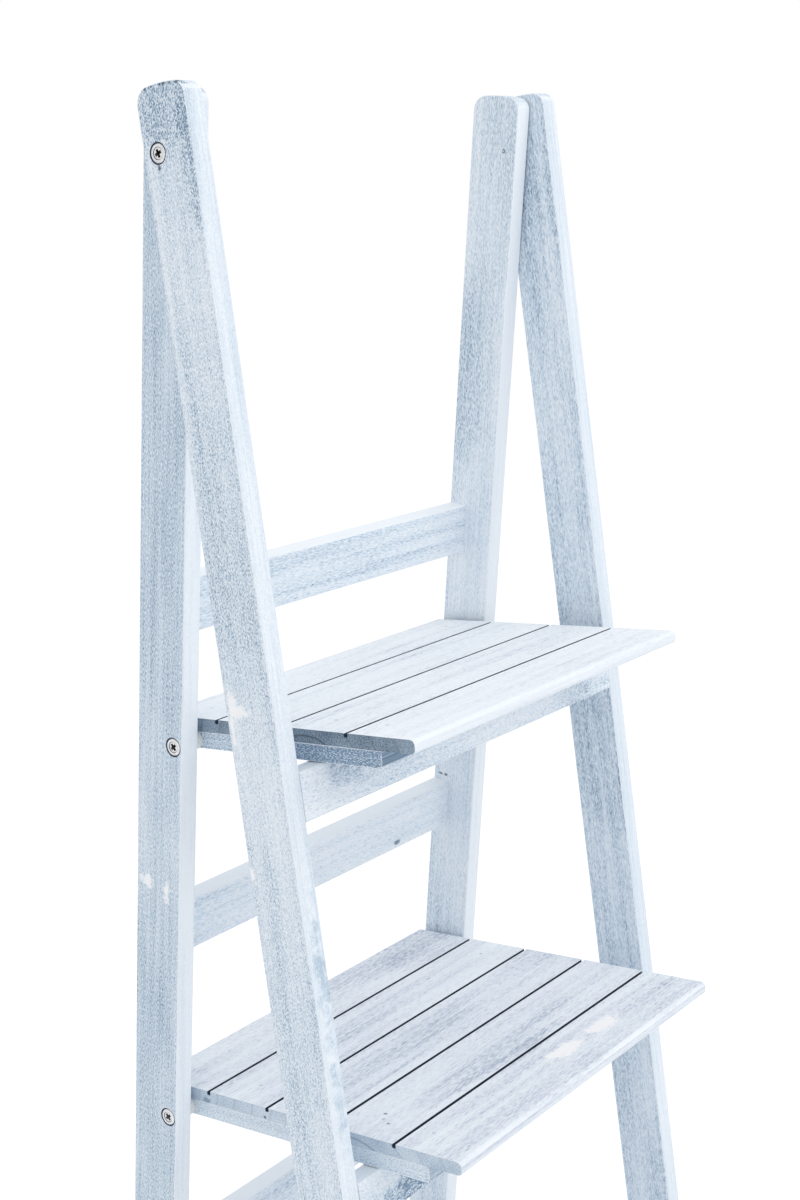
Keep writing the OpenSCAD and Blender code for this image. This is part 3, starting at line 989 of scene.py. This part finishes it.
class STAND_OT_shelves(Operator):
    """Model the grooved boards and cleats of the three shelves"""

    bl_idname = "stand.shelves"
    bl_label = "Shelves"

    def execute(self, context):
        dark_ends = (shade(82, 99, 117), shade(148, 167, 184))
        pale_ends = (shade(168, 187, 206), shade(214, 224, 234))
        rubs_and_shade = {
            "top": (((-0.136, 0.010, 0.650), (0.020, 0.060, 0.030), 0.30, 0.3),
                    ((-0.136, -0.146, 0.650), (0.006, 0.012, 0.010), 0.35, 0.6)),
            "middle": (((-0.0120, -0.1030, 0.4181), (0.070, 0.013, 0.006), -0.20, 0.6),
                       ((-0.0690, -0.0960, 0.4181), (0.040, 0.012, 0.006), -0.18, 0.6),
                       ((0.0890, 0.0460, 0.4181), (0.030, 0.025, 0.006), -0.15, 0.6),
                       ((-0.1050, -0.1500, 0.4125), (0.026, 0.006, 0.006), -0.35, 1.2),
                       # Painted shade: the left cleat's nose, in shadow under the board
                       ((-0.1320, -0.1417, 0.4040), (0.012, 0.012, 0.012), -0.40, 1.0)),
            "bottom": ()}
        paint = shade(254, 252, 252)
        dot = shade(84, 94, 108)
        marks = {"top": (), "bottom": (), "middle": (
            ((0.0095, -0.1305, 0.4181), (0.023, 0.0085, SKIN), paint, 1.0),
            ((0.0490, -0.1318, 0.4181), (0.019, 0.0085, SKIN), paint, 1.0),
            ((-0.1092, -0.0836, 0.4181), (1.2 * MM, 1.6 * MM, 1 * MM), dot, 0.3),
            ((-0.1181, -0.0929, 0.4181), (1.0 * MM, 1.4 * MM, 1 * MM), dot, 0.3),
            ((-0.1360, -0.0125, 0.4118), (1 * MM, 1.6 * MM, 1.2 * MM), dot, 0.5),
            ((-0.1360, 0.0355, 0.4119), (1 * MM, 4.0 * MM, 2.4 * MM), shade(128, 148, 170), 0.8))}
        blue_ends = (shade(96, 121, 145), shade(156, 178, 199))
        plans = (("top", 0.90, dark_ends, 0.11, blue_ends),
                 ("middle", 0.68, pale_ends, 0.66, pale_ends),
                 ("bottom", 0.72, pale_ends, 0.58, pale_ends))
        for tier, cover, board_ends, cleat_cover, cleat_ends in plans:
            low = extent(f"{tier}_shelf_board")[0]
            heart = (low.y + 76.5 * MM, low.z - 22.5 * MM)
            boards = whitewash(f"{tier}_board_wash", 0, cover=cover, narrow_cover_and_light=cover - 0.12,
                               clouding=0.85, streaks=1.0, speckle=1.7, stroke=200, greyed=True,
                               ends=board_ends, ring=(heart, 28 * MM, 14 * MM), rubs_and_shade=rubs_and_shade[tier],
                               marks=marks[tier])
            cleats = whitewash(f"{tier}_cleat_wash", 1, cover=cleat_cover, narrow_cover_and_light=cleat_cover,
                               clouding=0.4, speckle=1.8, stroke=700, ends=cleat_ends, rubs_and_shade=rubs_and_shade[tier])
            shelf_board(tier, boards)
            for side in SIDES:
                cleat(tier, side, cleats)
        return DONE


class STAND_OT_screws(Operator):
    """Model the pivot screws, with their recesses and threads"""

    bl_idname = "stand.screws"
    bl_label = "Pivot screws"

    def execute(self, context):
        steel = metal("screw_steel", tuple(settings().finish.steel), 0.3)
        screw_pair("top_pivot_screws", "rear_frame", HINGE, math.radians(20), steel)
        for tier in TIERS:
            screw_pair(f"{tier}_shelf_screws", f"{tier}_shelf", SHELF_PIVOTS[tier], math.radians(35), steel)
        return DONE


class STAND_OT_small_parts(Operator):
    """Finish the washers, spacers, dowels and brads, whose shapes stay as they are"""

    bl_idname = "stand.small_parts"
    bl_label = "Small parts"

    def execute(self, context):
        zinc = metal("washer_zinc", shade(190, 196, 202), 0.4)
        nylon = plain("spacer_nylon", shade(222, 222, 216), shade(238, 238, 233), 300, 0.45)
        beech = plain("dowel_beech", shade(196, 166, 124), shade(222, 196, 156), 90, 0.6, (0.2, 6, 6))
        washed = plain("washed_brad", shade(182, 191, 203), shade(218, 224, 232), 900, 0.6)
        dress(NODES["top_pivot_washers"], zinc)
        for which in ("front", "rear"):
            dress(NODES[f"{which}_frame_dowels"], beech)
        for tier in TIERS:
            dress(NODES[f"{tier}_shelf_spacers"], nylon)
            dress(NODES[f"{tier}_shelf_brads"], washed)
        return DONE


class STAND_OT_stage(Operator):
    """Set up the floor, the light and the camera"""

    bl_idname = "stand.stage"
    bl_label = "Stage"

    def execute(self, context):
        make_floor()
        make_sky()
        make_key_lamp()
        make_camera()
        return DONE


# ---- stage ----

FLOOR_SIZE = 24.0
FLOOR_GLOW = 0.22
WHITE = (1, 1, 1, 1)
COOL_WHITE = (0.985, 0.992, 1, 1)
WARM_WHITE = (1, 0.99, 0.98)
KEY_PLACE = Vector((0.9, -2.4, 2.2))
KEY_AIM = Vector((0, 0, 0.55))
KEY_SIZE = 2.2
# The camera's place from the top pivots in metres, and its aim in degrees
CAMERA_FROM_HINGE = Vector((-0.8305, -0.6693, -0.0779))
CAMERA_AZIMUTH = -50.81
CAMERA_ELEVATION = 9.98
CAMERA_ROLL = -5.68


def seen_directly(tree):
    """1 for camera, mirror and see-through rays, 0 for the rays that light the stand."""
    path = add_node(tree, "LightPath")
    seen = path.outputs["Is Camera Ray"]
    for ray in ("Is Glossy Ray", "Is Transmission Ray"):
        either = add_node(tree, "Math", operation="MAXIMUM")
        tree.links.new(seen, either.inputs[0])
        tree.links.new(path.outputs[ray], either.inputs[1])
        seen = either.outputs[0]
    return seen


def make_floor():
    """A plain pale floor that shows white and still takes the stand's shadow."""
    deselect()
    bpy.ops.mesh.primitive_plane_add(size=FLOOR_SIZE)
    floor = bpy.context.object
    floor.name = "floor"
    paper = Finish("floor_paper")
    paper.feed(paper.shader, {
        "Base Color": settings().stage.floor_colour, "Roughness": 0.9, "Emission Color": WHITE,
        "Emission Strength": paper.times(seen_directly(paper.tree), FLOOR_GLOW)})
    floor.data.materials.append(paper.material)


def make_sky():
    """A white sky that is even all round."""
    world = bpy.data.worlds.new("studio")
    bpy.context.scene.world = world
    world.use_nodes = True
    tree = world.node_tree
    tree.nodes.clear()
    seen = add_node(tree, "Background")
    seen.inputs["Color"].default_value = WHITE
    light = add_node(tree, "Background")
    light.inputs["Color"].default_value = COOL_WHITE
    light.inputs["Strength"].default_value = settings().stage.sky
    either = add_node(tree, "MixShader")
    output = add_node(tree, "OutputWorld")
    sources = (seen_directly(tree), light.outputs[0], seen.outputs[0])
    for socket, source in zip(either.inputs, sources):
        tree.links.new(source, socket)
    tree.links.new(either.outputs[0], output.inputs["Surface"])


def make_key_lamp():
    """One large soft lamp at the front."""
    deselect()
    bpy.ops.object.light_add(type="AREA", location=KEY_PLACE)
    lamp = bpy.context.object
    lamp.name = "key"
    lamp.data.size = KEY_SIZE
    lamp.data.energy = settings().stage.key
    lamp.data.color = WARM_WHITE
    lamp.rotation_euler = (KEY_AIM - KEY_PLACE).to_track_quat("-Z", "Y").to_euler()


def make_camera():
    """The photograph's view: from the front left, a little above, with the picture tilted."""
    data = bpy.data.cameras.new("camera")
    data.lens = settings().stage.lens
    data.clip_start = 0.01
    camera = bpy.data.objects.new("camera", data)
    bpy.context.scene.collection.objects.link(camera)
    aim = (Matrix.Rotation(math.radians(CAMERA_AZIMUTH), 4, "Z")
           @ Matrix.Rotation(math.radians(90 - CAMERA_ELEVATION), 4, "X")
           @ Matrix.Rotation(math.radians(CAMERA_ROLL), 4, "Z"))
    camera.matrix_world = Matrix.Translation(HINGE + CAMERA_FROM_HINGE) @ aim
    bpy.context.scene.camera = camera
    bpy.context.scene.view_settings.view_transform = "Standard"


# ---- panel and running ----

OPERATORS = (STAND_OT_stage, STAND_OT_legs, STAND_OT_rails, STAND_OT_shelves, STAND_OT_screws,
             STAND_OT_small_parts)


class STAND_PT_panel(Panel):
    """Lists the stand's pieces and what can be set"""

    bl_idname = "STAND_PT_panel"
    bl_label = "Ladder Stand"
    bl_space_type = "VIEW_3D"
    bl_region_type = "UI"
    bl_category = "Ladder Stand"

    def draw(self, context):
        for operator in OPERATORS:
            self.layout.operator(operator.bl_idname)
        for group in (settings().boards, settings().screws, settings().finish, settings().stage):
            box = self.layout.box()
            for name in group.bl_rna.properties.keys():
                if name not in ("rna_type", "name"):
                    box.prop(group, name)


CLASSES = (StandBoards, StandScrews, StandFinish, StandStage, StandSettings, *OPERATORS, STAND_PT_panel)


def register():
    for cls in CLASSES:
        bpy.utils.register_class(cls)
    bpy.types.Scene.ladder_stand = PointerProperty(type=StandSettings)


def unregister():
    del bpy.types.Scene.ladder_stand
    for cls in reversed(CLASSES):
        bpy.utils.unregister_class(cls)


def main():
    register()
    for operator in OPERATORS:
        group, name = operator.bl_idname.split(".")
        getattr(getattr(bpy.ops, group), name)()
    bpy.context.view_layer.update()


if __name__ == "__main__":
    main()
